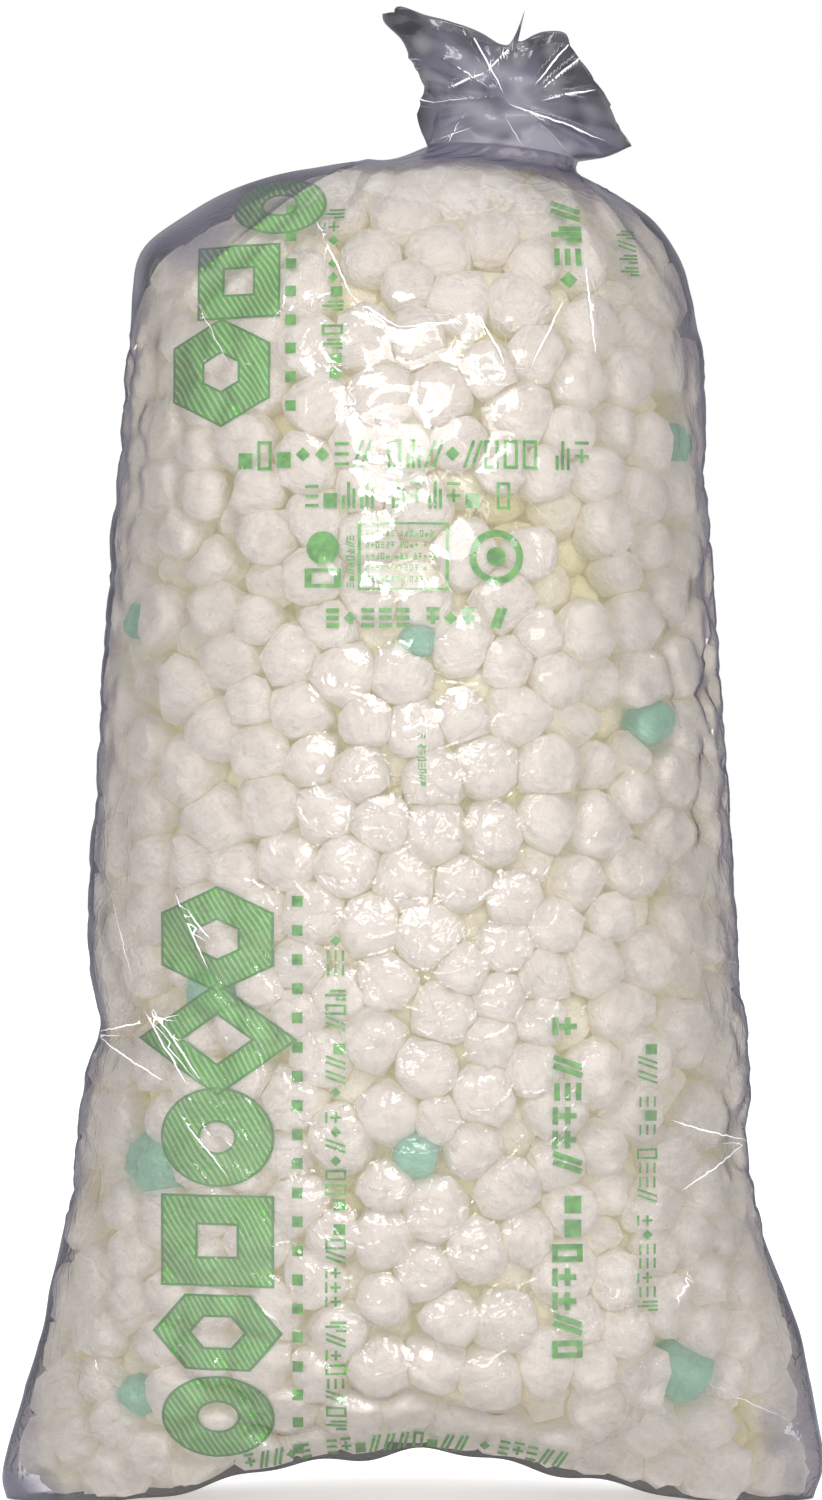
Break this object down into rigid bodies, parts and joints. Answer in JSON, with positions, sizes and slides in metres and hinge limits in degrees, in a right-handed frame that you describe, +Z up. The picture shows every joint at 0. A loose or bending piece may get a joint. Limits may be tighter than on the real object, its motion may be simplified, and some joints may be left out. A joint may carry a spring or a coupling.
{
  "type": "packing peanut bag",
  "caption": "Tall clear film bag full of puffed white and green starch packing nuggets, closed by a knot at its neck, with flat corners at its base.",
  "frame": {"origin": "on the ground, under the middle of the bag's box", "axes": "+Z up, from the base to the knotted neck; +X to the bag's right seen from its printed front; +Y to its back"},
  "size_m": [0.438, 0.252, 0.803],
  "materials": {
    "film": "clear thin film, glossy, grey where it lies in folds",
    "print": "green ink, slightly see-through",
    "nugget_white": "puffed starch, matt, ivory white",
    "nugget_green": "puffed starch, matt, dull green"
  },
  "bodies": {
    "root": {"film_bag": "film", "loose_fill": "nugget_white", "nugget_green_01": "nugget_green", "nugget_green_02": "nugget_green", "nugget_green_03": "nugget_green", "nugget_green_04": "nugget_green", "nugget_green_05": "nugget_green", "nugget_green_06": "nugget_green", "nugget_green_07": "nugget_green", "nugget_green_08": "nugget_green", "nugget_green_09": "nugget_green", "nugget_white_01": "nugget_white", "nugget_white_02": "nugget_white", "nugget_white_03": "nugget_white", "nugget_white_04": "nugget_white", "nugget_white_05": "nugget_white", "nugget_white_06": "nugget_white", "nugget_white_07": "nugget_white", "nugget_white_08": "nugget_white", "nugget_white_09": "nugget_white", "nugget_white_10": "nugget_white", "nugget_white_11": "nugget_white", "nugget_white_12": "nugget_white", "nugget_white_13": "nugget_white", "nugget_white_14": "nugget_white", "nugget_white_15": "nugget_white", "nugget_white_16": "nugget_white", "nugget_white_17": "nugget_white", "nugget_white_18": "nugget_white", "nugget_white_19": "nugget_white", "nugget_white_20": "nugget_white", "nugget_white_21": "nugget_white", "nugget_white_22": "nugget_white", "nugget_white_23": "nugget_white", "nugget_white_24": "nugget_white", "nugget_white_25": "nugget_white", "nugget_white_26": "nugget_white", "nugget_white_27": "nugget_white", "nugget_white_28": "nugget_white", "nugget_white_29": "nugget_white", "nugget_white_30": "nugget_white", "nugget_white_31": "nugget_white", "nugget_white_32": "nugget_white", "nugget_white_33": "nugget_white", "nugget_white_34": "nugget_white", "nugget_white_35": "nugget_white", "nugget_white_36": "nugget_white", "nugget_white_37": "nugget_white", "nugget_white_38": "nugget_white", "nugget_white_39": "nugget_white", "nugget_white_40": "nugget_white", "nugget_white_41": "nugget_white", "nugget_white_42": "nugget_white", "nugget_white_43": "nugget_white"}
  },
  "joints": []
}
